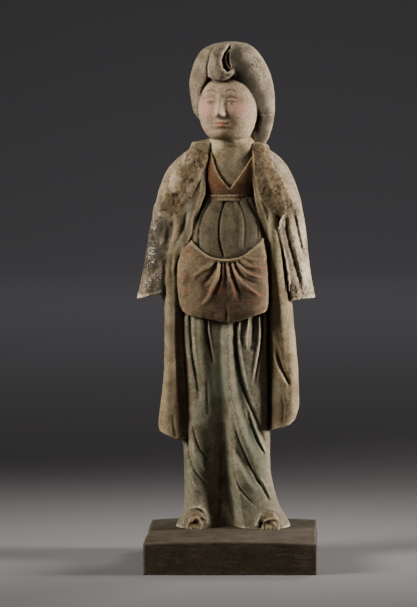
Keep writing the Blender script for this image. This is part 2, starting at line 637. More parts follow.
SKIRT_ROWS = [
    [-2, -59.5, 59.5, -31, 33.5], [0, -59, 59, -31, 33], [8, -55, 54.5, -30, 31], [17, -51, 49, -28.5, 29],
    [39, -50, 43, -27, 27], [61, -50, 39.5, -27, 26], [90, -51, 39, -28, 25], [130, -51, 39, -31, 26],
    [180, -52, 39, -35, 28], [232, -53, 39, -39, 30],
]
LEFT_HEM_ROLL = [(-51, 3), (-49, 11), (-44.6, 19.4), (-38, 22), (-31.4, 20), (-27.2, 13), (-25.8, 3)]
RIGHT_HEM_ROLL = [(25, 2), (27.4, 9), (31.4, 15.4), (37.6, 18.6), (44.2, 16.6), (49.4, 9.6), (51.4, 2)]
skirt_folds = folded(
    ([(-42.5, 222), (-42, 205), (-40.3, 181), (-35.5, 151), (-33.5, 132)], 2.8, -3.2, (0, 0.4)),
    ([(-38.6, 222), (-38.2, 200), (-36.6, 180), (-32.5, 155)], 3, 1.6, (0, 0.5)),
    ([(-47.5, 220), (-47, 195), (-43, 165)], 3, 1, (0, 0.5)),
    ([(-31, 222), (-31, 190), (-28, 155), (-27, 120)], 9, 2, (0, 0.5)),
    ([(-40, 112), (-39, 70), (-38, 30), (-38, 10)], 17, 4.5, (0.3, 0.2)),
    ([(-25.4, 222), (-24.6, 202), (-21, 184), (-18.5, 172)], 2.5, -2.8, (0, 0.5)),
    ([(-23, 222), (-22, 203), (-18.6, 186)], 1.8, 1.2, (0, 0.6)),
    ([(-25.5, 158), (-25, 138), (-24, 116)], 2.6, -1.2, (0.3, 0.4)),
    ([(-3.5, 216), (-4, 181), (-2, 155), (2, 129), (9, 103), (18, 80), (28, 58)], 8.5, 4.6, (0.05, 0.4)),
    ([(5, 218), (4.8, 193), (7.6, 166), (12.6, 146), (20.5, 124), (29, 101), (37, 79)], 3, -2.9, (0, 0.3)),
    ([(8.2, 216), (8, 193), (11.6, 166), (16, 146), (24, 122)], 2.2, 1.7, (0, 0.5)),
    ([(18.3, 221), (16, 202), (15.2, 187)], 1.9, 2.4, (0, 0.4)),
    ([(23, 222), (22.4, 204), (19.5, 184)], 5, -2.6, (0, 0.5)),
    ([(29, 221), (29.2, 202), (27, 181), (22, 153)], 2.1, 2.7, (0, 0.3)),
    ([(32, 222), (31.4, 197), (26.8, 170), (22.8, 150)], 2.3, -3, (0, 0.3)),
    ([(35.6, 220), (35.6, 185), (36, 150), (36, 118)], 3, 1.1, (0, 0.4)),
    ([(-40.5, 106), (-38, 95.8), (-32.9, 80.1), (-23.6, 69.6)], 2.4, -2.4, (0.2, 0.15)),
    ([(-42, 92), (-38.5, 76), (-31, 63), (-22, 55)], 5.5, 2.2, (0.2, 0.3)),
    ([(-47, 100), (-46.3, 92.6), (-43.4, 71.7), (-36.2, 56), (-25.8, 43.4)], 2.4, -2.8, (0.3, 0.15)),
    ([(-45, 60), (-40, 46), (-31, 36)], 5, 1.6, (0.2, 0.3)),
    ([(-48.4, 54), (-47.6, 48.7), (-43.6, 35), (-36.3, 28)], 2.2, -1.7, (0.3, 0.2)),
    ([(0.5, 118), (6.6, 94.7), (13.8, 76.9), (24, 52.9), (31.3, 43.5)], 2.5, -2.8, (0.2, 0.15)),
    ([(0.6, 84), (5, 68), (14, 50), (24, 38)], 6, 2.6, (0.2, 0.3)),
    ([(15.5, 124), (25.5, 93), (33.2, 76)], 2.4, -2.2, (0.2, 0.2)),
    ([(18.4, 120), (28.6, 92), (36, 76)], 2.1, 1.6, (0.2, 0.2)),
    ([(0.2, 66.5), (6.4, 45.5), (14.6, 33), (25, 22.5)], 2.4, -2.6, (0.15, 0.2)),
    ([(24, 50.8), (31.3, 40.3), (38.5, 26)], 2.3, -2.2, (0.3, 0.15)),
    ([(27, 54), (34.4, 43), (41.4, 28)], 2.2, 1.3, (0.2, 0.2)),
    ([(1.2, 40.3), (6.3, 26.7), (15.6, 17.2)], 2.2, -1.4, (0.3, 0.2)),
    ([(37.4, 110), (39, 80), (41.5, 50)], 2.4, -1.3, (0.3, 0.3)),
    (LEFT_HEM_ROLL, 3, 2.8, (0.02, 0.02)), (RIGHT_HEM_ROLL, 3, 2.8, (0.02, 0.02)),
)


def between_legs(x, z):
    """The deep hollow down the middle of the skirt: it sinks slowly from the left leg and ends
    in a short bank at the right one."""
    left, right, depth = row_at([[-5, -22, 8, 13], [22, -20, 4, 12.5], [49, -19.5, 0, 11], [75, -19, -1.6, 9],
                                 [101, -18, -2.4, 6.5], [128, -18, -4, 4], [150, -18, -6, 2.6],
                                 [182, -18, -7.6, 1.8], [216, -18, -8, 1.4]], z)
    slope = np.clip((x - left) / 31 + 0.78, 0, 1)
    bank = np.clip((right - x) / 13 + 0.5, 0, 1)
    return -depth * np.minimum(slope * slope, bank * bank * (3 - 2 * bank))


hem_rims = bumped((-38, 3, 10.5, 13, 8), (38.6, 3, 10.5, 12, 8.5))
greened_slip = finish("greened_slip",
                      ((0.14, 0.125, 0.082), (0.088, 0.068, 0.04), (0.034, 0.029, 0.017), (0.42, 0.38, 0.28)),
                      (0.8, 0.85, 0.55, 50.0), pits=(420.0, 0.26, 50.0),
                      paints=(("brown_stain", (0.062, 0.048, 0.028), 80.0, 0.2, 0.85, 0.85),
                              ("green_tint", (0.07, 0.09, 0.058), 60.0, 0.25, 0.85, 0.65),
                              ("red_paint", (0.3, 0.13, 0.06), 90.0, 0.25, 0.7, 0.6)))
skirt_back = folded(([(-30, 110), (-32, 50), (-36, 0)], 7, -2.2, (0, 0.1)),
                    ([(-8, 110), (-6, 50), (-8, 0)], 8, -2, (0, 0.1)),
                    ([(18, 110), (20, 50), (24, 0)], 7, -2.2, (0, 0.1)),
                    ([(-19, 90), (-20, 0)], 9, 1.6, (0.2, 0.1)), ([(7, 90), (9, 0)], 9, 1.6, (0.2, 0.1)))
body_clay.press(greened_slip, draped(SKIRT_ROWS, 3, together(skirt_folds, between_legs, hem_rims),
                                     skirt_back),
                (-66, -48, -5), (66, 42, 235))


# The shoes: both tips are broken off in their arched openings of the hem, and show rough clay.

broken_clay = finish("broken_clay",
                     ((0.15, 0.11, 0.066), (0.07, 0.046, 0.026), (0.018, 0.013, 0.009), (0.34, 0.265, 0.165)),
                     (0.8, 1.0, 0.55, 110.0), pits=(500.0, 0.5, 90.0), grain=0.8)


def broken(form, middle, height, seed):
    """A form torn into fibres that bend around the middle of the break."""
    def torn(x, y, z):
        depth = form(x, y, z)
        across, deep, up = np.broadcast_arrays(x - middle, y, z)
        ring, turn = np.hypot(across, up), np.arctan2(across, up + 4)
        spots = np.stack([ring.ravel(), 0.5 * deep.ravel(), 5 * turn.ravel()], 1)
        lumps = np.stack([across.ravel(), deep.ravel(), up.ravel()], 1)
        tear = mottle(spots, 2.3, seed) + 0.6 * mottle(lumps, 5, seed + 1)
        return (depth + height * tear.reshape(depth.shape)).astype(np.float32)
    return torn


for foot_x, half_wide, high, seed in ((-37.6, 9.4, 18.6, 3), (38.4, 10, 15.6, 5)):
    arch = [(foot_x + half_wide * side, z * high) for side, z in
            ((-1, -0.3), (-0.97, 0.45), (-0.64, 0.86), (-0.08, 1), (0.56, 0.88), (0.93, 0.5), (1, -0.3))]
    opening = outlined(arch, lambda x, y, z: y + 27 + 0 * x + 0 * z, 1)
    body_clay.carve(opening, (foot_x - 14, -56, -5), (foot_x + 14, -20, 24), 1.6)
    stump = broken(egg((half_wide + 6, 15, high + 8), (foot_x, -22, -3)), foot_x, 2.3, seed)
    grown = [(foot_x + 1.12 * (x - foot_x), 1.08 * z) for x, z in arch]
    torn_tip = outlined(grown, stump, 1)
    body_clay.press(broken_clay, torn_tip, (foot_x - 14, -46, -5), (foot_x + 14, -16, 24), 0.8)


# The belly: slip-coated clay modelled as pleats that hang from the chest band and swell forward.

BELLY_ROWS = [
    [250, -42, 33, -42, 0], [268, -43, 35, -45, 0], [285, -43, 35.5, -46, 0], [299, -41.5, 35.2, -45, 0],
    [313, -39.5, 33.6, -42, 0], [328, -36, 30.5, -37, 0], [344, -32, 26.5, -31.5, 0],
]
belly_pleats = folded(
    ([(-19.5, 342), (-28.7, 325), (-32.6, 309), (-31.8, 290)], 1.9, -2.2, (0, 0.1)),
    ([(-14, 340), (-20, 322), (-22, 300), (-20, 286)], 6, 0.9, (0.1, 0.3)),
    ([(-5.4, 342), (-10.7, 323), (-11.4, 303), (-6.7, 283)], 1.9, -2.2, (0, 0.05)),
    ([(-1, 340), (-1, 320), (0, 300), (1, 284)], 5, 0.6, (0.1, 0.3)),
    ([(4.2, 342), (9.9, 327.5), (11.9, 311), (10.4, 290)], 2, 1.3, (0, 0.2)),
    ([(6.8, 342), (13, 329.5), (15.4, 315), (14, 292)], 2, -1.3, (0, 0.2)),
    ([(13, 341), (19, 328), (22, 312), (21, 298)], 3.6, 0.7, (0.1, 0.3)),
    ([(18, 342), (25.6, 325), (28, 311), (27, 298)], 1.9, -1.4, (0, 0.2)),
)
belly_slip = finish("belly_slip",
                    ((0.09, 0.072, 0.042), (0.05, 0.037, 0.021), (0.02, 0.016, 0.01), (0.26, 0.22, 0.14)),
                    (0.8, 0.9, 0.4, 70.0), pits=(450.0, 0.28, 60.0),
                    paints=(("green_tint", (0.1, 0.1, 0.07), 70.0, 0.25, 0.85, 0.6),
                            ("brown_stain", (0.06, 0.047, 0.028), 60.0, 0.25, 0.9, 0.75)))
body_clay.press(belly_slip, draped(BELLY_ROWS, 3.9, front=belly_pleats), (-48, -54, 246), (40, 6, 348))


# The bodice: a painted band and a red bodice, cut to a low neckline with a raised pale cord.

bodice_red = finish("bodice_red",
                    ((0.12, 0.055, 0.024), (0.055, 0.038, 0.021), (0.024, 0.017, 0.01), (0.25, 0.155, 0.08)),
                    (0.8, 0.8, 0.3, 95.0), pits=(500.0, 0.3, 80.0))
edge_slip = finish("edge_slip",
                   ((0.17, 0.125, 0.07), (0.1, 0.06, 0.03), (0.03, 0.021, 0.013), (0.34, 0.27, 0.165)),
                   (0.8, 0.8, 0.25, 80.0), pits=(450.0, 0.25, 60.0))
BODICE_ROWS = [
    [338, -32, 28, -31.5, 4], [352, -34, 31, -33, 4], [366, -35, 33, -32.5, 4],
    [380, -33, 33, -28.5, 4], [392, -28, 29, -22, 4], [404, -21, 22, -14, 4],
]
BAND_ROWS = [[340.5, -30, 24, -33.6, 2], [346.5, -29.5, 24, -33.6, 2]]
NECKLINE = [(-24, 414), (-20, 393), (-17, 376.4), (-10.9, 364), (-1.6, 353), (0.4, 353), (5.6, 360),
            (13.9, 372), (22.2, 385), (27, 414)]
body_clay.press(bodice_red, draped(BODICE_ROWS), (-40, -38, 334), (38, 8, 408))
neck_opening = outlined(NECKLINE, lambda x, y, z: y + 0 * x + 0 * z + 10)
body_clay.carve(neck_opening, (-30, -40, 348), (32, -8, 412), 0.6)
body_clay.press(edge_slip, draped(BAND_ROWS), (-34, -38, 336), (28, 6, 351), 0.5)
for band_z in (341.2, 345.6):
    band_edge = [(x, front_of(BAND_ROWS, x, 343) - 0.2, band_z) for x in np.linspace(-27, 21, 12)]
    roll_on(body_clay, edge_slip, band_edge, 0.9, 0.6)
for neck_edge in ([(-20, 393), (-17, 376.4), (-10.9, 364), (-1.4, 352.8)],
                  [(22.2, 385), (13.9, 372), (5.6, 360), (0.2, 352.8)]):
    roll_on(body_clay, edge_slip, laid_on(BODICE_ROWS, neck_edge, -0.3), 0.75, 0.8)


# The hip wrap: a bundle of cloth gathered under the belly, with traces of red on ochre paint.

WRAP_ROWS = [
    [206, -42, 28, -36, 4], [212, -46, 31, -42, 4], [220, -52, 36.5, -46.5, 4], [234, -55.5, 39, -49.5, 4],
    [255, -57, 40, -51, 4], [272, -56.5, 40, -51, 4], [288, -53, 39, -49, 4], [306, -46, 37, -46, 4],
]
WRAP_SQUARENESS = 3.6
WRAP_OUTLINE = [
    (-42.2, 298), (-50.5, 288), (-54.3, 277), (-55, 265), (-54.7, 248), (-53, 234), (-50.4, 227.5),
    (-44, 223), (-26.4, 219.6), (-12, 216.8), (-3.3, 214.8), (4, 216), (12, 218.4), (26.3, 223.6), (35, 226),
    (38, 230), (38.6, 246), (38.6, 270), (38, 288), (34.5, 301), (28.3, 293.6), (18, 285.4), (5.7, 280),
    (-6.7, 279), (-21, 281.4), (-31.3, 287.6), (-38.4, 298),
]
wrap_folds = folded(
    ([(-15, 280), (-23, 273.5), (-31.2, 268.4), (-39, 261)], 3, 1.6, (0.05, 0.3)),
    ([(-11.3, 280), (-12.8, 264), (-18.6, 252), (-23.2, 241.6), (-29.4, 234)], 2.4, 2.5, (0.05, 0.3)),
    ([(-7.2, 280), (-7.6, 264), (-8.5, 250)], 2, 1.1, (0.05, 0.5)),
    ([(-3.5, 280), (-0.4, 264), (3.6, 251.8), (4.6, 238)], 2.3, 1.9, (0.05, 0.3)),
    ([(1.7, 279), (5.7, 266.2), (11.8, 258), (20, 250.7), (29, 245)], 2.3, 2.5, (0.05, 0.3)),
    ([(5.8, 280), (13.9, 270.3), (22.1, 265.1), (35, 262)], 2.3, 1.9, (0.05, 0.3)),
    ([(9.9, 281.5), (20.1, 274.4), (33, 272.5)], 2.2, 1.4, (0.05, 0.4)),
    ([(13.5, 284), (24, 280), (34, 281)], 2.2, 1.1, (0.05, 0.4)),
    ([(-13.7, 279), (-18.9, 266.3), (-28, 254)], 4.5, -2.2, (0.05, 0.5)),
    ([(-9, 279), (-10, 262), (-15, 245)], 2.4, -1.7, (0.05, 0.5)),
    ([(-5, 279), (-4, 262), (-3, 244)], 2.2, -1.2, (0.05, 0.5)),
    ([(0, 279), (4, 262), (9, 248), (12, 236)], 3.4, -1.9, (0.05, 0.5)),
    ([(4, 279), (11, 266.5), (20, 258.5), (33, 254)], 3, -2, (0.05, 0.5)),
    ([(9, 279), (18, 271), (31, 267)], 2.6, -1.5, (0.05, 0.5)),
    ([(-4.5, 236), (-3.8, 226), (-4.2, 215)], 1.8, -0.9, (0.3, 0)),
    ([(-46, 272), (-50, 258), (-49, 240)], 6, 1.2, (0.3, 0.4)),
)
gather = bumped((-2, 281, 11, 7, -3), (-35, 252, 14, 14, 1.2), (22, 250, 12, 14, 1.0))
wrap_paint = finish("wrap_ochre",
                    ((0.15, 0.108, 0.06), (0.085, 0.05, 0.028), (0.03, 0.02, 0.012), (0.35, 0.27, 0.17)),
                    (0.85, 0.75, 0.42, 60.0), pits=(420.0, 0.38, 50.0), lines=0.12,
                    paints=(("brown_stain", (0.055, 0.034, 0.02), 60.0, 0.2, 0.8, 0.85),
                            ("red_paint", (0.22, 0.068, 0.026), 150.0, 0.3, 0.8, 0.6),
                            ("pink_paint", (0.3, 0.15, 0.1), 190.0, 0.3, 0.9, 0.5)))
wrap_relief = together(wrap_folds, gather, crusted(0.25, 3.4, 21))
body_clay.press(wrap_paint, outlined(WRAP_OUTLINE, draped(WRAP_ROWS, WRAP_SQUARENESS, front=wrap_relief), 2),
                (-60, -58, 210), (44, 6, 305), 0.6)
wrap_top = [(-40, 299.5), (-31.3, 289), (-21, 282.6), (-6.7, 280), (5.7, 281), (18, 286.4), (28.3, 295),
            (33.5, 301.5)]
wrap_foot = [(-3, 216), (4, 217.2), (12, 219.6), (26.3, 224.8), (34, 227.6), (37, 233), (37.6, 246)]
roll_on(body_clay, edge_slip, laid_on(WRAP_ROWS, wrap_top, -1.2, WRAP_SQUARENESS), 1.5, 1.2)
roll_on(body_clay, wrap_paint, laid_on(WRAP_ROWS, wrap_foot, -1, WRAP_SQUARENESS), 0.9, 0.6)


# The robe: worn open, of ochre-brown slip. Its back falls behind the skirt, its front edges frame
# the belly, and its long sleeves hang past the hands.

robe_slip = finish("robe_slip",
                   ((0.18, 0.14, 0.08), (0.1, 0.066, 0.034), (0.026, 0.02, 0.012), (0.42, 0.35, 0.23)),
                   (0.8, 0.7, 0.34, 55.0), pits=(380.0, 0.28, 45.0),
                   paints=(("green_tint", (0.1, 0.105, 0.055), 60.0, 0.3, 0.8, 0.7),
                           ("brown_stain", (0.065, 0.047, 0.027), 70.0, 0.2, 0.8, 0.8),
                           ("cream_slip", (0.27, 0.235, 0.165), 110.0, 0.3, 0.8, 0.75)))
ROBE_BACK_ROWS = [[90, -43, 32, 2, 30], [96, -47, 36, 0, 34], [150, -49, 38, 0, 35], [210, -52, 42, -2, 35],
                  [246, -58, 46, -6, 34]]
robe_back_folds = folded(
    ([(-30, 245), (-29, 160), (-31, 88)], 6, -3.2, (0.1, 0)),
    ([(-17, 245), (-17, 160), (-18, 88)], 8, 1.6, (0.1, 0)),
    ([(-4, 245), (-6, 160), (-5, 88)], 6, -3, (0.1, 0)), ([(9, 245), (8, 160), (9, 88)], 8, 1.6, (0.1, 0)),
    ([(20, 245), (20, 160), (22, 88)], 6, -3.2, (0.1, 0)),
    ([(-40, 245), (-41, 160), (-42, 88)], 4, -1.8, (0.1, 0)),
)
body_clay.press(robe_slip, draped(ROBE_BACK_ROWS, back=robe_back_folds), (-64, -8, 86), (52, 42, 250))

LEFT_FACING_ROWS = [
    [236, -78, -38, -30, 4], [280, -74, -26, -35, 4], [305, -70, -18, -36.4, 4],
    [345, -64, -8, -34.4, 4], [373, -54, -6, -29, 4], [402, -42, -6, -17, 4],
]
LEFT_FACING = [
    (-58.4, 262), (-58, 270), (-55.6, 279.6), (-51.2, 286.5), (-43.1, 296.5), (-36.9, 308.5), (-35.2, 318.8),
    (-32, 331), (-26, 347.7), (-25.4, 374.5), (-20, 401), (-40, 401), (-54, 372), (-54, 340), (-52.4, 326),
    (-51.4, 318), (-52.6, 309.5), (-56, 299.2), (-59, 286), (-60.5, 269),
]
RIGHT_FACING_ROWS = [
    [246, 18, 60, -32, 4], [300, 12, 56, -34.5, 4], [335, 6, 52, -33.5, 4],
    [360, 4, 46, -30, 4], [383, 4, 42, -24.5, 4], [400, 4, 36, -15, 4],
]
RIGHT_FACING = [
    (43, 250), (48, 330), (41, 366), (36, 399), (20.5, 399), (23, 384.5), (22.8, 362), (24.6, 343.4),
    (28, 328), (32.4, 313.4), (35, 298), (37.2, 286.6), (38.4, 262),
]
facing_folds = folded(
    ([(-29, 372), (-30, 348), (-38, 322), (-41, 304), (-52, 286)], 2.2, 1.0, (0.1, 0.2)),
    ([(28, 380), (30, 345), (38.5, 318), (41, 292)], 2.0, 1.0, (0.1, 0.2)),
    ([(-45, 330), (-48, 315), (-56, 298), (-62, 284)], 3, -1.8, (0.2, 0.3)),
)
left_facing = outlined(LEFT_FACING, draped(LEFT_FACING_ROWS, 4, front=facing_folds))
right_facing = outlined(RIGHT_FACING, draped(RIGHT_FACING_ROWS, 4, front=facing_folds))
body_clay.press(robe_slip, left_facing, (-74, -40, 234), (-14, 6, 404), 0.7)
body_clay.press(robe_slip, right_facing, (14, -40, 246), (54, 6, 402), 0.7)

LEFT_SLEEVE_ROWS = [
    [88, -76, -37, -25, 13], [101, -77, -36.4, -26, 15], [110, -77, -36, -26.5, 17],
    [128, -74.5, -36.5, -27, 20], [165, -71.5, -40, -28, 22], [205, -70.5, -42.5, -29, 24],
    [250, -70, -46, -32, 24], [272, -70, -45, -32, 24], [300, -70, -44, -31, 22], [334, -66, -42, -30, 18],
]
RIGHT_SLEEVE_ROWS = [
    [96, 36, 69, -26, 13], [120, 35, 69.5, -27, 17], [136, 34.5, 69.5, -28, 19], [160, 34, 69, -29, 20],
    [200, 34, 65.5, -32, 22], [245, 34, 61.5, -37, 24], [275, 33, 59, -39.5, 24], [300, 32, 57, -39.5, 24],
    [320, 31, 55, -37, 22], [345, 30, 52, -29, 18],
]
LEFT_SLEEVE_END = [(-92, 104), (-77.4, 103), (-76, 99.5), (-66, 95.5), (-57.4, 92), (-48, 92.5), (-40, 95.5),
                   (-32, 101), (-30, 345), (-92, 345)]
RIGHT_SLEEVE_END = [(32, 97.5), (39.4, 99.4), (49.8, 103.5), (60, 107), (65.2, 112), (68.4, 121), (80, 140),
                    (80, 350), (32, 350)]


def falls_back(edges, depth):
    """A sleeve's inner side, which falls back from its crest: rows of [height, crest, inner edge]."""
    def relief(x, z):
        crest, inner = row_at(edges, z)
        share = np.clip((x - crest) / (inner - crest), 0, 1.2)
        return -depth * share * share * (3 - 1.6 * share)
    return relief


left_sleeve_folds = together(
    falls_back([[88, -60, -37], [165, -58, -42], [250, -60, -48], [300, -66, -44], [345, -66, -44]], 2.6),
    folded(
        ([(-66, 262), (-66, 200), (-67, 150), (-69, 106)], 6, 1.4, (0.1, 0.2)),
        ([(-54, 250), (-55, 200), (-52, 150), (-50, 100)], 5, -1.8, (0.2, 0.1)),
        ([(-57.5, 240), (-58.5, 190), (-57, 130)], 3, 1.0, (0.3, 0.3)),
        ([(-61, 120), (-60, 106), (-58, 94)], 3, -1.4, (0.3, 0.1))))
right_sleeve_folds = together(
    falls_back([[96, 58, 38], [160, 58, 39], [245, 50, 39], [285, 45, 36], [350, 42, 31]], 2.4),
    folded(
        ([(60, 250), (61.5, 200), (63.5, 150), (63, 114)], 6, 1.4, (0.1, 0.2)),
        ([(46.5, 190), (51, 171), (56, 158), (59.5, 149)], 3, -3.4, (0.25, 0.2)),
        ([(43.5, 184), (47.4, 168), (52, 158), (57.5, 149)], 2.2, 2.2, (0.1, 0.25)),
        ([(47, 236), (48, 210), (52, 186)], 3, -1.2, (0.3, 0.4)),
        ([(52, 140), (54, 124), (53, 108)], 4, -1.4, (0.3, 0.2))))
left_sleeve = outlined(LEFT_SLEEVE_END, draped(LEFT_SLEEVE_ROWS, front=left_sleeve_folds), 2.4)
right_sleeve = outlined(RIGHT_SLEEVE_END, draped(RIGHT_SLEEVE_ROWS, front=right_sleeve_folds), 2.4)
body_clay.press(robe_slip, left_sleeve, (-82, -44, 85), (-34, 28, 336), 0.8)
body_clay.press(robe_slip, right_sleeve, (33, -44, 92), (74, 28, 347), 0.8)


# The jacket: short and flared, of pale slip that is badly pitted. Its half-sleeves spread from the
# shoulders to thin hems, and its thick lapels are folded back with ochre paint on them.

jacket_slip = finish("jacket_slip",
                     ((0.21, 0.165, 0.108), (0.09, 0.062, 0.036), (0.028, 0.02, 0.013), (0.52, 0.45, 0.33)),
                     (0.85, 0.8, 0.45, 60.0), pits=(300.0, 0.6, 42.0), grain=0.5,
                     paints=(("brown_stain", (0.03, 0.023, 0.016), 170.0, 0.2, 0.8, 0.97),
                             ("olive_dirt", (0.026, 0.02, 0.013), 150.0, 0.2, 0.8, 0.9),
                             ("cream_slip", (0.42, 0.36, 0.26), 260.0, 0.4, 0.75, 0.7),
                             ("flakes", (0.45, 0.4, 0.32), 640.0, 0.6, 0.7, 0.9)))
lapel_slip = finish("lapel_ochre",
                    ((0.165, 0.118, 0.06), (0.06, 0.038, 0.019), (0.022, 0.016, 0.01), (0.42, 0.335, 0.21)),
                    (1.0, 0.95, 0.5, 170.0), pits=(230.0, 0.8, 60.0), grain=0.7,
                    paints=(("olive_dirt", (0.068, 0.05, 0.026), 150.0, 0.15, 0.65, 0.85),
                            ("cream_slip", (0.36, 0.29, 0.19), 170.0, 0.3, 0.7, 0.8),
                            ("pink_paint", (0.27, 0.19, 0.15), 120.0, 0.3, 0.8, 0.7)))
LEFT_HALF_SLEEVE_ROWS = [
    [235, -100, -62, -20, 27], [251, -95.5, -60, -23, 28], [272, -91, -59, -25, 30], [293, -87, -56, -26, 31],
    [314, -84, -54, -27, 32], [334, -80, -44, -30, 33], [352, -75, -36, -30, 33], [373, -66, -26, -26, 32],
    [386, -53, -20, -21, 30], [395, -42, -14, -15, 27], [402, -33, -8, -8, 22],
]
LEFT_HALF_SLEEVE = [
    (-66.6, 326), (-61.5, 320.8), (-59, 313), (-59.8, 301), (-63, 289.7), (-66.9, 278.4), (-68.4, 266.4),
    (-68.3, 242), (-100, 234), (-104, 236), (-98.3, 256), (-92, 290), (-84, 335), (-66, 345),
]
RIGHT_HALF_SLEEVE_ROWS = [
    [234, 55, 88, -20, 27], [245, 55, 85.5, -22, 28], [261, 54, 82.5, -24, 29], [286, 50, 79.5, -27, 31],
    [311, 45, 77, -30, 32], [337, 38, 72.5, -31, 33], [356, 32, 67, -29, 33], [375, 24, 58, -25, 31],
    [386, 18, 48, -20, 29], [393, 12, 38, -15, 26], [400, 8, 30, -8, 22],
]
RIGHT_HALF_SLEEVE = [
    (67, 338), (61.2, 331), (54.8, 326), (51.4, 320.2), (50.2, 313.1), (51.4, 305.3), (54, 292.4),
    (56.6, 279.5), (58.6, 266.6), (60.4, 247.5), (61, 230), (92, 230), (92, 345), (75, 345),
]
left_half_folds = folded(
    ([(-80, 328), (-79, 310), (-76, 292)], 7, -2.6, (0.3, 0.4)),
    ([(-70, 322), (-68, 308), (-72, 292)], 4, 1.4, (0.2, 0.4)),
    ([(-85, 318), (-86, 285), (-90, 244)], 6, 1.2, (0.2, 0.2)),
    ([(-76, 296), (-78, 270), (-82, 240)], 5, -1.2, (0.2, 0.1)),
    ([(-71, 280), (-72, 260), (-73, 240)], 3, 0.9, (0.2, 0.1)),
    ([(-98, 239.5), (-85, 243), (-70, 247)], 2.4, 1.3, (0.05, 0.05)),
    ([(-69, 320), (-70, 312), (-72, 300)], 5, -2, (0.3, 0.5)),
)
right_half_folds = folded(
    ([(56, 325), (59, 305), (63.5, 285), (69, 262), (73.5, 240)], 4.5, -1.9, (0.05, 0.25)),
    ([(61, 318), (65, 300), (70, 278), (76, 252)], 4.5, 1.4, (0.1, 0.25)),
    ([(64, 334), (68, 312), (72.5, 292), (78.5, 268)], 4, -1.7, (0.05, 0.35)),
    ([(69, 326), (72.5, 306), (77, 284)], 3.5, 1.1, (0.1, 0.35)),
)


def left_hem(x, z):
    """Above zero where a spot is below the half-sleeve's hem."""
    return 237.6 + 0.27 * (x + 99) - z


def right_hem(x, z):
    """The same on the right, where the hem waves a little."""
    return 236.2 + 0.07 * (x - 60) + 1.2 * np.sin((x - 60) / 9) - z


def hemmed(form, hem):
    """A form cut off below a hem line."""
    return lambda x, y, z: np.maximum(form(x, y, z), hem(x, z)).astype(np.float32)


left_half = hemmed(draped(LEFT_HALF_SLEEVE_ROWS), left_hem)
right_half = hemmed(draped(RIGHT_HALF_SLEEVE_ROWS), right_hem)
body_clay.press(jacket_slip, left_half, (-104, -38, 230), (-4, 38, 406), 0.8)
body_clay.press(jacket_slip, right_half, (4, -38, 230), (92, 38, 404), 0.8)
LEFT_FLAP_ROWS = [[230, -101, -38, -25, 20], [251, -95.8, -36, -28, 20], [272, -91.3, -34, -30.5, 20],
                  [293, -87.3, -32, -32, 20], [314, -84.3, -30, -33, 20], [334, -80.3, -28, -34, 20],
                  [350, -75, -26, -34, 20]]
RIGHT_FLAP_ROWS = [[228, 20, 88.5, -28, 20], [245, 20, 85.8, -31, 20], [261, 20, 82.8, -33.5, 20],
                   [286, 20, 79.8, -35.5, 20], [311, 20, 77.3, -36.5, 20], [337, 16, 72.8, -36, 20],
                   [350, 16, 68, -34, 20]]
left_relief = together(left_half_folds, crusted(0.35, 3.6, 13))
right_relief = together(right_half_folds, crusted(0.3, 3.4, 14))
left_flap = outlined(LEFT_HALF_SLEEVE, draped(LEFT_FLAP_ROWS, front=left_relief), 1.6)
right_flap = outlined(RIGHT_HALF_SLEEVE, draped(RIGHT_FLAP_ROWS, front=right_relief), 1.6)
body_clay.press(jacket_slip, hemmed(left_flap, left_hem), (-104, -40, 230), (-54, 4, 348), 0.8)
body_clay.press(jacket_slip, hemmed(right_flap, right_hem), (46, -42, 230), (92, 4, 348), 0.8)

# The robe's sleeve shows as a soft tube in the opening of the half-sleeve on the viewer's left.
# The half-sleeve on the right has a thin rolled edge.
TUBE = [(-57, -30, 333), (-54.6, -31, 324), (-53.4, -31.4, 314), (-55, -31, 304), (-59.4, -30, 291),
        (-62.6, -29, 277), (-64, -28, 260), (-63, -27, 244)]
TUBE_RADII = (4.6, 5.4, 5.6, 5.2, 4.4, 3.8, 3.8, 3.4)
ROLLED_EDGE = [(66, -36.5, 333), (61, -37, 329.5), (54.6, -37.2, 325.6), (51.2, -37.4, 320), (50, -37.4, 313),
               (51.2, -37, 305), (54, -36, 292), (56.6, -35, 279.5), (58.6, -34, 266.6), (60.4, -32.6, 247)]
TUBE_STEPS = 4
tube = smooth_path(TUBE, TUBE_STEPS)
tube_radii = np.interp(range(len(tube)), range(0, len(tube), TUBE_STEPS), TUBE_RADII)
roll_on(body_clay, robe_slip, tube, tube_radii, 2, spare=4)
roll_on(body_clay, jacket_slip, ROLLED_EDGE, (0.9, 1, 1.1, 1.1, 1, 0.9, 0.9, 0.8, 0.8, 0.6), 1.8)
roll_on(body_clay, jacket_slip, [(-71, -29, 327), (-61, -30, 322)], 4.5, 3, spare=3)

JACKET_BACK_ROWS = [
    [233, -75, 63, -6, 38], [262, -79, 68, -8, 39], [300, -80, 72, -8, 39.5], [335, -77, 70, -8, 39],
    [360, -69, 61, -8, 37], [380, -54, 46, -8, 34], [394, -38, 33, -6, 29], [404, -24, 24, -2, 24],
]
jacket_back_folds = folded(
    ([(-44, 350), (-50, 280), (-54, 232)], 7, -3.4, (0.3, 0)),
    ([(-30, 350), (-34, 280), (-37, 232)], 9, 1.8, (0.3, 0)),
    ([(-15, 360), (-18, 280), (-19, 232)], 7, -2.8, (0.3, 0)),
    ([(-2, 350), (-2, 280), (-2, 232)], 9, 1.5, (0.3, 0)),
    ([(12, 360), (12, 280), (14, 232)], 7, -2.8, (0.3, 0)),
    ([(25, 350), (27, 280), (30, 232)], 9, 1.8, (0.3, 0)),
    ([(38, 350), (42, 280), (45, 232)], 7, -3.4, (0.3, 0)),
)
jacket_back = draped(JACKET_BACK_ROWS, back=jacket_back_folds)
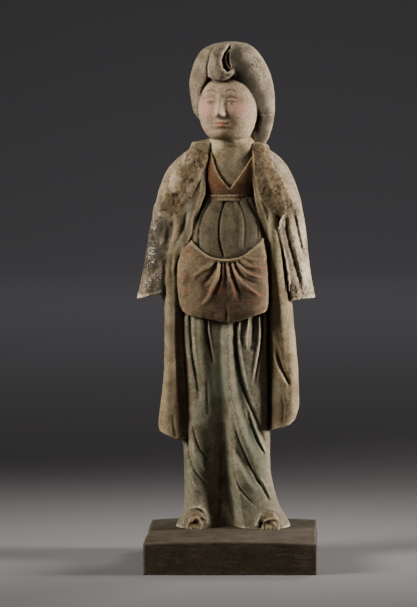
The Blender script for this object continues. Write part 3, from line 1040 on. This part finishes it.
body_clay.press(jacket_slip, jacket_back, (-84, -12, 229), (76, 44, 408), 1.5)
for hollow_x, half_wide in ((-81, 13), (71, 10.5)):
    body_clay.carve(egg((half_wide, 19, 9), (hollow_x, 4, 234)), (hollow_x - 18, -20, 228),
                    (hollow_x + 18, 28, 246), 1.2)

LEFT_LAPEL_ROWS = [
    [318, -86, -26, -34, 4], [334, -84, -20, -35.5, 4], [352, -79, -12, -35, 4], [373, -70, -8, -31, 4],
    [386, -58, -8, -26, 4], [396, -47, -8, -18, 4], [406, -38, -8, -8, 4],
]
LEFT_LAPEL = [
    (-76.6, 330), (-66.6, 330.4), (-62.5, 325.4), (-57.4, 324.4), (-46.5, 332.3), (-39.4, 343.5),
    (-31.1, 356), (-25.5, 372.3), (-23.4, 384.7), (-20.5, 402.4), (-35, 401.4), (-46.1, 389.2), (-54.8, 377),
    (-65.4, 354), (-73.8, 335),
]
RIGHT_LAPEL_ROWS = [
    [312, 18, 76, -34, 4], [330, 12, 75, -36, 4], [350, 8, 70, -35, 4], [370, 6, 60, -31, 4],
    [384, 6, 48, -26, 4], [394, 6, 42, -18, 4], [404, 6, 38, -7, 4],
]
RIGHT_LAPEL = [
    (42.6, 325.7), (48.8, 325), (52, 322.4), (67.3, 332), (61.1, 347), (51.2, 367.8), (44.8, 374),
    (42.4, 383), (38.6, 397.6), (21.4, 399.4), (22.8, 384.5), (24.4, 368), (28.2, 351.5), (32.3, 341),
]
lapel_folds = folded(
    ([(-31, 398), (-45, 380), (-56, 356), (-66, 336)], 7, 1.4, (0.1, 0.2)),
    ([(-27, 385), (-35, 362), (-45, 346), (-53, 335)], 3, 0.9, (0.1, 0.2)),
    ([(-23, 384), (-26, 371), (-32, 356), (-40, 343), (-48, 331)], 4.5, -1.6, (0.1, 0.1)),
    ([(41.5, 392), (43.5, 382), (46, 374), (53, 364)], 2, -1.6, (0.1, 0.3)),
    ([(30, 392), (34, 370), (42, 350), (52, 334)], 7, 1.2, (0.1, 0.2)),
    ([(53, 326), (58, 340), (55, 352)], 2.6, 0.9, (0.05, 0.4)),
)
lapel_lumps = bumped((-50, 352, 6, 5, 0.8), (-60, 342, 5, 5, -0.7), (44, 345, 5, 5, -0.6),
                     (38, 362, 5, 6, 0.7))
lapel_relief = together(lapel_folds, lapel_lumps, crusted(0.65, 2.4, 11), crusted(0.6, 6.5, 12))
left_lapel = outlined(LEFT_LAPEL, draped(LEFT_LAPEL_ROWS, front=lapel_relief), 2)
right_lapel = outlined(RIGHT_LAPEL, draped(RIGHT_LAPEL_ROWS, front=lapel_relief), 2)
body_clay.press(lapel_slip, left_lapel, (-82, -42, 318), (-14, 8, 408), 0.5)
body_clay.press(lapel_slip, right_lapel, (14, -42, 316), (72, 8, 406), 0.5)


def soft_spots(x, z, spots):
    """The strongest of soft spots of (x, z, spread x, spread z, strength), at each place."""
    left = np.zeros(len(x))
    for sx, sz, wide, tall, strength in spots:
        away = ((x - sx) / wide) ** 2 + ((z - sz) / tall) ** 2
        left = np.maximum(left, strength * np.exp(-away / 2))
    return left


def traces(places, *spots):
    """Where paint or tint is left, as soft spots on the front."""
    x, y, z = places.T
    return soft_spots(x, z, spots) * (y < 5)


def along(places, *lines):
    """Where paint is left along lines of (path, half width) on the front."""
    x, y, z = places.T
    return folded(*[(path, half, 1, (0.05, 0.05)) for path, half in lines])(x, z) * (y < 5)


body, body_places = fired("figure_body", body_clay, 195000, ((40, 0.5), (11, 0.28), (4, 0.16)), figure_place)
spots = traces(
    body_places, (-43, 292, 3, 2.5, 0.7), (-12, 250, 10, 5, 0.62), (2, 249, 12, 4, 0.5),
    (2, 262, 2.5, 9, 0.45), (22, 238, 4, 2.4, 0.6), (27, 244, 4, 2, 0.6), (26, 166, 2.4, 10, 0.5),
    (9, 150, 3, 16, 0.3))
lines = along(
    body_places, ([(-53, 270), (-49, 267.5), (-44.5, 268.5)], 1.7),
    ([(-53, 266), (-49, 263.5), (-45, 264.5)], 1.5), ([(-52.5, 254), (-48, 251), (-43.5, 252.5)], 1.7),
    ([(-51.5, 250.5), (-47, 248), (-43, 249)], 1.5), ([(-46, 296), (-44, 292), (-39, 288.5)], 1.8),
    ([(-49, 290), (-45, 287), (-40, 286)], 1.6), ([(-17, 254), (-21, 246), (-25, 239)], 1.9),
    ([(3.4, 252), (5, 244), (6.5, 238)], 2.2), ([(20, 251), (27, 246), (32, 244)], 1.9),
    ([(24, 274), (31, 272.6), (36, 272.5)], 1.6), ([(26, 263.4), (34, 261.5)], 1.6))
note(body.data, "red_paint", np.maximum(spots, 0.9 * lines))
note(body.data, "pink_paint", np.maximum(0.9 * along(
    body_places, ([(-11.5, 278), (-12.8, 264), (-18.6, 252), (-23.2, 241.6), (-29.4, 235)], 2.4),
    ([(-3.5, 278), (-0.4, 264), (3.6, 252), (5, 240)], 2.4),
    ([(2, 278), (5.7, 266.2), (11.8, 258), (20, 250.7), (28, 246)], 2.4),
    ([(6, 279), (13.9, 270.3), (22.1, 265.1), (33, 262.5)], 2.2)), traces(
    body_places, (-41, 352, 5, 7, 0.7), (-32, 367, 4, 10, 0.65), (30, 380, 5, 7, 0.55))))
note(body.data, "green_tint", traces(
    body_places, (-12, 160, 12, 30, 0.75), (-20, 130, 6, 30, 0.8), (10, 150, 8, 30, 0.7),
    (20, 90, 12, 25, 0.7), (-35, 60, 10, 20, 0.55), (10, 30, 14, 18, 0.6), (28, 50, 9, 28, 0.6),
    (2, 190, 14, 20, 0.5), (18, 300, 8, 22, 0.3), (-52, 315, 7, 16, 0.5), (-60, 275, 6, 25, 0.6),
    (-56, 235, 6, 20, 0.7), (-55, 312, 6, 16, 0.5), (44, 290, 7, 26, 0.6), (44, 140, 6, 30, 0.6),
    (-28, 292, 7, 14, 0.7), (12, 300, 10, 12, 0.6)))
note(body.data, "brown_stain", traces(
    body_places, (-82, 285, 14, 28, 0.85), (-76, 312, 10, 12, 0.85), (-78, 258, 14, 18, 0.75),
    (5, 245, 26, 16, 0.8), (15, 225, 20, 7, 0.7), (-20, 228, 14, 6, 0.5), (26, 258, 11, 14, 0.6),
    (60, 364, 8, 12, 0.42), (-27, 190, 6, 22, 0.62), (14, 205, 4, 12, 0.6), (27, 196, 3, 20, 0.5),
    (-27, 80, 5, 34, 0.5), (-24, 30, 5, 18, 0.55), (19, 62, 8, 22, 0.5), (-55, 130, 11, 44, 0.75),
    (-56, 200, 9, 34, 0.75), (48, 190, 5, 20, 0.4), (60, 120, 8, 10, 0.35), (24, 318, 9, 22, 0.7),
    (2, 335, 18, 6, 0.5), (44, 150, 4, 40, 0.5)))
note(body.data, "flakes", traces(
    body_places, (-83, 285, 10, 28, 0.62), (-80, 314, 7, 12, 0.62), (-87, 254, 10, 12, 0.62),
    (-76, 262, 9, 20, 0.57), (-77, 340, 6, 12, 0.55), (74, 300, 9, 30, 0.56), (76, 262, 9, 20, 0.58),
    (60, 345, 6, 14, 0.55), (-52, 372, 6, 16, 0.54)))
note(body.data, "olive_dirt", traces(
    body_places, (33, 352, 6, 12, 0.85), (29, 376, 5, 12, 0.8), (40, 336, 7, 7, 0.7), (-66, 336, 8, 5, 0.8),
    (-30, 392, 5, 8, 0.6), (50, 330, 8, 5, 0.45), (-44, 366, 5, 6, 0.35), (-67, 308, 4, 12, 0.8),
    (-73, 284, 4, 14, 0.45)))
note(body.data, "cream_slip", traces(
    body_places, (-58, 362, 7, 12, 0.7), (-46, 385, 6, 8, 0.7), (-50, 346, 6, 6, 0.5), (55, 345, 3, 12, 0.5),
    (-84, 262, 9, 10, 0.55), (-97, 241, 5, 3, 0.8), (-82, 243, 10, 1.6, 0.6), (72, 300, 9, 30, 0.6),
    (76, 262, 8, 22, 0.7), (-43, 324, 5, 18, 0.75), (-52, 298, 4, 12, 0.7), (-30, 360, 3, 16, 0.6),
    (39, 312, 3, 20, 0.6)))
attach(body, "root")
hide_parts("figure")


# The neck and head: turned a little to one side, with a calm, full face. The flesh is cream slip
# with pink on the cheeks and lips, and the bare skin shows in the neckline.

HEAD_GRAIN = 0.8
head_clay = Clay((-49, -54, 340), (52, 46, 510), HEAD_GRAIN)
HEAD_TURN, HEAD_NOD = np.radians(-16), np.radians(-3)
HEAD_CENTRE = (-1, -10, 441)
HEAD_ROWS = [
    [-39, -13, 13, -15, 14], [-36, -19, 19, -22, 16], [-31, -23.5, 23.5, -26, 18],
    [-22, -27.5, 27.5, -29, 20], [-10, -30, 30, -31, 22], [4, -30.5, 30.5, -32, 24], [18, -29, 29, -31, 24],
    [28, -24, 24, -26, 20], [35, -14, 14, -16, 12],
]


def both_sides(*bumps):
    return [(side * x, *rest) for x, *rest in bumps for side in (-1, 1)]


def lines_on_both_sides(*folds):
    """Each fold and its mirror image across the middle of the face."""
    return [([(side * x, z) for x, z in path], *rest) for path, *rest in folds for side in (1, -1)]


face_forms = bumped(
    (0, -4, 2.7, 6.5, 4.4), (0, -11.8, 2.9, 3, 5.8), (0, -14.2, 2.2, 1.6, 1.2), (0, -18.2, 0.9, 2, -0.5),
    (0, -21.3, 5.2, 1.3, 1.7), (0, -24.8, 4.4, 1.6, 2), (0, -28, 5.5, 1.4, -1), (0, -32.5, 6, 3.6, 2.4),
    *both_sides((11.5, 0, 5.4, 3.8, -2.6), (11.5, -0.6, 4, 2.6, 2.3), (9.5, 7, 6.5, 2.4, 0.8),
                (16, -13, 8, 8, 2.4), (3.5, -13.6, 1.5, 1.6, 2), (2, -15.8, 0.9, 0.6, -1.1),
                (8.3, -22.8, 1.2, 1.2, -0.5)))
face_lines = folded(
    *lines_on_both_sides(([(6.2, -1), (9, 0), (12.4, 0), (17, -1.6)], 1.3, -1.1, (0.15, 0.15)),
                         ([(6.4, -1.4), (9, -3.4), (12.4, -3.6), (16.6, -2)], 1.2, -0.5, (0.2, 0.2)),
                         ([(6, 2.4), (9, 3.9), (13, 4), (17.4, 2.2)], 1.2, -0.7, (0.2, 0.2))),
    ([(-7.6, -22.8), (-3.5, -23.2), (0, -22.7), (3.5, -23.2), (7.6, -22.8)], 1.1, -1.1, (0.1, 0.1)),
)


def turned(form):
    """The form in the head's own frame, which is turned and nods."""
    def placed(x, y, z):
        dx, dy, dz = x - HEAD_CENTRE[0], y - HEAD_CENTRE[1], z - HEAD_CENTRE[2]
        across = dx * np.cos(HEAD_TURN) + dy * np.sin(HEAD_TURN)
        deep = -dx * np.sin(HEAD_TURN) + dy * np.cos(HEAD_TURN)
        return form(across, deep * np.cos(HEAD_NOD) + dz * np.sin(HEAD_NOD),
                    -deep * np.sin(HEAD_NOD) + dz * np.cos(HEAD_NOD))
    return placed


skin_slip = finish("skin_slip",
                   ((0.31, 0.235, 0.155), (0.2, 0.13, 0.07), (0.05, 0.036, 0.024), (0.5, 0.42, 0.3)),
                   (0.6, 0.75, 0.25, 70.0), pits=(420.0, 0.3, 60.0), grain=0.2,
                   paints=(("pink_paint", (0.42, 0.2, 0.165), 110.0, 0.2, 0.9, 0.6),
                           ("lip_paint", (0.3, 0.095, 0.06), 180.0, 0.3, 0.6, 0.7),
                           ("brow_paint", (0.07, 0.05, 0.04), 260.0, 0.3, 0.7, 0.75)))
neck_slip = finish("neck_slip",
                   ((0.22, 0.175, 0.105), (0.16, 0.1, 0.045), (0.032, 0.026, 0.016), (0.42, 0.36, 0.25)),
                   (0.8, 0.85, 0.3, 90.0), pits=(330.0, 0.45, 70.0), grain=0.4,
                   paints=(("cream_slip", (0.4, 0.33, 0.21), 140.0, 0.3, 0.7, 0.75),
                           ("olive_dirt", (0.105, 0.092, 0.06), 90.0, 0.2, 0.75, 0.8)))
NECK_ROWS = [[380, -20, 20, -22, 14], [394, -20, 20.5, -25, 12], [408, -20, 20, -28, 12],
             [428, -20, 20, -28, 12]]
SKIN_ROWS = [[344, -27, 27, -29.5, 2], [366, -28, 28, -30, 2], [382, -26, 26, -26, 2], [402, -22, 23, -20, 2]]
neck_creases = folded(([(-19, 401), (-8, 396), (6, 395.5), (19, 399)], 1.8, -0.9, (0.1, 0.1)),
                      ([(-17, 392), (-4, 388), (12, 389)], 1.6, -0.6, (0.2, 0.2)))
head_clay.press(neck_slip, draped(SKIN_ROWS), (-32, -34, 341), (32, 6, 406), 2)
head_clay.press(neck_slip, draped(NECK_ROWS, front=neck_creases), (-26, -34, 376), (26, 18, 432), 6)
head_clay.press(skin_slip, turned(draped(HEAD_ROWS, front=together(face_forms, face_lines))), (-36, -52, 398),
                (36, 20, 482), 3)


# The hair: one smooth, full mass of pale slip, open around the face and low on one side, with a
# broad lock that curls over the forehead beside a deep slot.

hair_slip = finish("hair_slip",
                   ((0.215, 0.178, 0.122), (0.13, 0.086, 0.05), (0.028, 0.021, 0.014), (0.48, 0.42, 0.31)),
                   (0.95, 0.85, 0.4, 75.0), pits=(260.0, 0.6, 60.0), grain=0.5,
                   paints=(("brown_stain", (0.085, 0.06, 0.036), 90.0, 0.2, 0.75, 0.85),
                           ("pink_paint", (0.27, 0.185, 0.15), 110.0, 0.3, 0.8, 0.6),
                           ("olive_dirt", (0.04, 0.033, 0.022), 60.0, 0.12, 0.75, 0.9)))
HAIR_ROWS = [
    [396, 18, 34, 6, 22], [404, -12, 39, -4, 31], [417, -24, 43, -16, 38], [425, -34, 44.6, -22, 40],
    [432, -39, 45.6, -25, 40], [445, -41.5, 45.6, -32, 41], [460, -43, 44, -38, 41],
    [474, -40.5, 40, -42, 38], [487, -35.5, 33, -40, 33], [496, -28.5, 26, -33, 26], [502, -17, 17, -22, 15],
    [504, -7, 7, -9, 4],
]
HAIR_OPENING = [
    (-22.5, 466.8), (-27.7, 456.6), (-30, 448.4), (-31.4, 434), (-31.4, 424), (-44, 408), (-40, 380),
    (22, 380), (22.4, 398), (27.6, 413), (30.4, 426), (25.6, 436), (20.4, 448), (12.2, 460.4), (4, 468),
    (-10, 474),
]
HAIR_SQUARENESS = 2.5
LOCK_OUTLINE = [
    (-0.6, 502.6), (-8, 503), (-14.5, 500), (-19.4, 491.2), (-22.4, 478), (-22, 468), (-16.1, 464.4),
    (-7.9, 463.4), (-0.7, 466.2), (4.6, 471), (4.8, 475.6), (2, 474.4), (-1.7, 472.8), (-6.2, 476.6),
    (-8.2, 484), (-6, 491.2), (-1.5, 498),
]
LOCK_SLOT = [(-0.6, 500), (-6, 491.2), (-8.2, 484.4), (-6.4, 477), (-1.8, 473), (3, 475.6), (0.8, 480),
             (-0.4, 486), (-0.2, 492), (1.2, 498.4)]


def swelled(rows, lift):
    return [[key, left - lift, right + lift, near - lift, far] for key, left, right, near, far in rows]


hair_folds = folded(([(-13, 501), (-19.6, 492), (-23, 478), (-22.4, 467)], 2, -1.5, (0.1, 0.1)),
                    ([(4, 500), (12, 488), (22, 470), (30, 448)], 14, 1.2, (0.3, 0.3)),
                    ([(26, 431), (34, 429), (44, 430)], 3, -1.6, (0.1, 0.1)))
head_clay_low, head_clay_high = (-48, -53, 392), (51, 45, 509)
hair = Clay(head_clay_low, head_clay_high, HEAD_GRAIN)
hair_back = folded(([(1, 500), (4, 462), (3, 418)], 10, -1.8, (0.2, 0.2)),
                   ([(-21, 492), (-25, 460), (-17, 426)], 7, -1.3, (0.2, 0.3)),
                   ([(23, 490), (28, 455), (22, 418)], 7, -1.3, (0.2, 0.3)),
                   ([(-30, 432), (0, 420), (36, 414)], 5, 1.4, (0.2, 0.2)))
hair.press(hair_slip, draped(HAIR_ROWS, HAIR_SQUARENESS, front=hair_folds, back=hair_back), head_clay_low,
           head_clay_high)
hair.carve(outlined(HAIR_OPENING, lambda x, y, z: y + 0 * x + 0 * z + 8, 1), (-47, -53, 392), (36, 0, 478), 4)
lock_lip = folded(([(-8, 497), (-12.5, 488), (-14, 478), (-9.5, 470), (-2, 469)], 7, 1.6, (0.1, 0.2)),
                  ([(-5, 474), (-1, 470.6), (3.5, 472.4)], 1.8, 1.2, (0.2, 0.2)))
lock_form = outlined(LOCK_OUTLINE, draped(swelled(HAIR_ROWS, 3.4), HAIR_SQUARENESS, front=lock_lip), 2.6)
hair.press(hair_slip, lock_form, (-28, -53, 458), (10, 0, 507), 0.6)
slot_floor = draped(swelled(HAIR_ROWS, -6))
slot = outlined(LOCK_SLOT, lambda x, y, z: -np.minimum(slot_floor(x, y, z), -y - 5), 1)
hair.carve(slot, (-14, -53, 468), (8, 0, 503), 1.0)
slot_rim = [(-0.4, 495.5), (-3.4, 489.5), (-3.6, 483.5), (-1, 478), (1.6, 476)]
roll_on(hair, hair_slip, laid_on(HAIR_ROWS, slot_rim, -1.4, HAIR_SQUARENESS), 1.0, 1.4)


def hair_depth(x, y, z):
    spots = [np.searchsorted(axis, line.ravel() - 1e-3) for axis, line in zip(hair.axes, (x, y, z))]
    spots = [np.minimum(spot, n - 1) for spot, n in zip(spots, hair.depth.shape)]
    return hair.depth[np.ix_(*spots)]


head_clay.press(hair_slip, hair_depth, (-47.5, -52.5, 393), (50.5, 44.5, 508.5), 0.5)
HEAD_WOBBLE = ((35, 0.25), (9, 0.14), (3.5, 0.08))
head, head_places = fired("figure_head", head_clay, 185000, HEAD_WOBBLE, figure_place)


def face_frame(places):
    """Places in the head's own frame: across, deep and up."""
    made = []
    turned(lambda across, deep, up: made.extend((across, deep, up)) or across)(*places.T)
    return np.stack(made, 1)


across, deep, up = face_frame(head_places).T


def face_traces(*spots):
    return soft_spots(across, up, spots) * (deep < -8)


hair_pink = traces(head_places, (-38, 448, 6, 8, 0.7), (-33, 470, 4, 10, 0.5), (42, 440, 4, 12, 0.6),
                   (-14, 478, 5, 6, 0.4))
note(head.data, "pink_paint", np.maximum(face_traces(*both_sides((17, -7, 9, 9, 0.85), (12, 4, 6, 4, 0.5))),
                                         hair_pink * (up > -60)))
note(head.data, "cream_slip", traces(head_places, (-14, 400, 8, 6, 0.8), (10, 404, 8, 5, 0.6),
                                     (-18, 392, 4, 8, 0.6)))
note(head.data, "olive_dirt", traces(
    head_places, (7, 489, 6, 9, 0.9), (12, 474, 8, 11, 0.95), (20, 458, 7, 12, 1), (29, 442, 6, 13, 1.05),
    (33, 426, 6, 11, 1.05), (31, 410, 6, 9, 0.9), (-12, 492, 4, 8, 0.45),
    (0, 374, 12, 12, 0.6), (14, 386, 6, 8, 0.6)))
note(head.data, "lip_paint", face_traces((0, -21.6, 5, 1.3, 0.9), (0, -24.6, 4.2, 1.5, 0.9)))
brow_line = folded(*lines_on_both_sides(([(4.5, 9.6), (10, 12.4), (17, 10.2)], 1.7, 1, (0.1, 0.2)),
                                        ([(6.2, -0.9), (9, 0.2), (12.4, 0.2), (17, -1.4)], 1.5, 1,
                                         (0.1, 0.15))))
eyes = face_traces(*both_sides((11.4, -1.2, 1.3, 1.2, 0.85)))
note(head.data, "brow_paint", np.maximum(0.85 * brow_line(across, up) * (deep < -12), eyes))
note(head.data, "brown_stain", traces(head_places, (36, 424, 7, 5, 0.85), (38, 408, 6, 8, 0.5),
                                      (-34, 470, 5, 12, 0.6), (-30, 488, 5, 6, 0.6), (-38, 452, 3, 5, 0.6),
    (-12, 486, 4, 8, 0.4), (18, 496, 6, 4, 0.5), (38, 450, 5, 16, 0.5), (36, 474, 5, 8, 0.4)))
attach(head, "root")
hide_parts("figure")


# The studio: a plain pale floor that sweeps up behind, a soft light from the left and one from the
# right, a weak one from behind, one for the backdrop, and a far camera with a long lens.

floor_mesh = bpy.data.meshes.new("studio_floor")
floor_z = plinth_low.z
FLOOR_FRONT, FLOOR_BACK, FLOOR_SIDE, SWEEP_ROUND, WALL_TOP = -12, 4.2, 9, 1.6, 5
sweep = [(FLOOR_FRONT, 0), (FLOOR_BACK, 0)]
sweep += [(FLOOR_BACK + SWEEP_ROUND * np.sin(bend), SWEEP_ROUND - SWEEP_ROUND * np.cos(bend))
          for bend in np.radians(range(10, 91, 10))]
sweep += [(FLOOR_BACK + SWEEP_ROUND, WALL_TOP)]
floor_mesh.from_pydata([(x, y, floor_z + z) for y, z in sweep for x in (-FLOOR_SIDE, FLOOR_SIDE)], [],
                       [(2 * n, 2 * n + 1, 2 * n + 3, 2 * n + 2) for n in range(len(sweep) - 1)])
floor_mesh.shade_smooth()
studio_floor = bpy.data.objects.new("studio_floor", floor_mesh)
bpy.context.scene.collection.objects.link(studio_floor)
floor_paint = bpy.data.materials.new("pale_floor")
floor_paint.use_nodes = True
floor_shader = floor_paint.node_tree.nodes["Principled BSDF"]
floor_shader.inputs["Base Color"].default_value = (0.145, 0.142, 0.15, 1)
floor_shader.inputs["Roughness"].default_value = 0.9
floor_mesh.materials.append(floor_paint)

world = bpy.data.worlds.new("studio")
bpy.context.scene.world = world
world.use_nodes = True
world.node_tree.nodes["Background"].inputs["Color"].default_value = (0.125, 0.115, 0.112, 1)
world.node_tree.nodes["Background"].inputs["Strength"].default_value = 1.0


def softbox(name, place, aim, size, watts, colour, spread):
    lamp = bpy.data.lights.new(name, "AREA")
    lamp.shape, lamp.size, lamp.size_y = "RECTANGLE", *size
    lamp.energy, lamp.color, lamp.spread = watts, colour, np.radians(spread)
    made = bpy.data.objects.new(name, lamp)
    made.location = place
    made.rotation_euler = (Vector(aim) - Vector(place)).to_track_quat("-Z", "Y").to_euler()
    bpy.context.scene.collection.objects.link(made)


softbox("key", (-1.38, -0.42, 0.92), (0, 0.03, 0.3), (0.6, 0.7), 4.1, (1, 0.95, 0.87), 38)
softbox("rim", (1.45, -0.02, 0.5), (0, 0.03, 0.27), (0.25, 0.6), 4.8, (1, 0.95, 0.89), 38)
softbox("backdrop", (0, 3.2, 2.6), (0, 3.5, 0), (3, 1.6), 17, (0.98, 0.96, 1), 150)
softbox("fill", (0.9, 0.9, 1.1), (0, 0.03, 0.4), (0.4, 0.4), 2, (1, 0.96, 0.92), 60)

LENS = 165.3
CAMERA_PLACE = (0.08715, -2.862713, 0.507293)
CAMERA_ANGLES = (2.206, -4.746, -0.309)
camera_data = bpy.data.cameras.new("camera")
camera = bpy.data.objects.new("camera", camera_data)
bpy.context.scene.collection.objects.link(camera)
bpy.context.scene.camera = camera
camera_data.sensor_fit = "VERTICAL"
camera_data.sensor_height = 36
camera_data.lens = LENS
camera_data.clip_start, camera_data.clip_end = 0.1, 30
yaw, pitch, roll = np.radians(CAMERA_ANGLES)
ahead = np.array([-np.sin(yaw) * np.cos(pitch), np.cos(yaw) * np.cos(pitch), np.sin(pitch)])
level = np.array([np.cos(yaw), np.sin(yaw), 0])
upward = np.cross(level, ahead)
side_axis = level * np.cos(roll) + upward * np.sin(roll)
up_axis = upward * np.cos(roll) - level * np.sin(roll)
turn = Matrix(np.stack([side_axis, up_axis, -ahead], 1).tolist()).to_4x4()
camera.matrix_world = Matrix.Translation(CAMERA_PLACE) @ turn
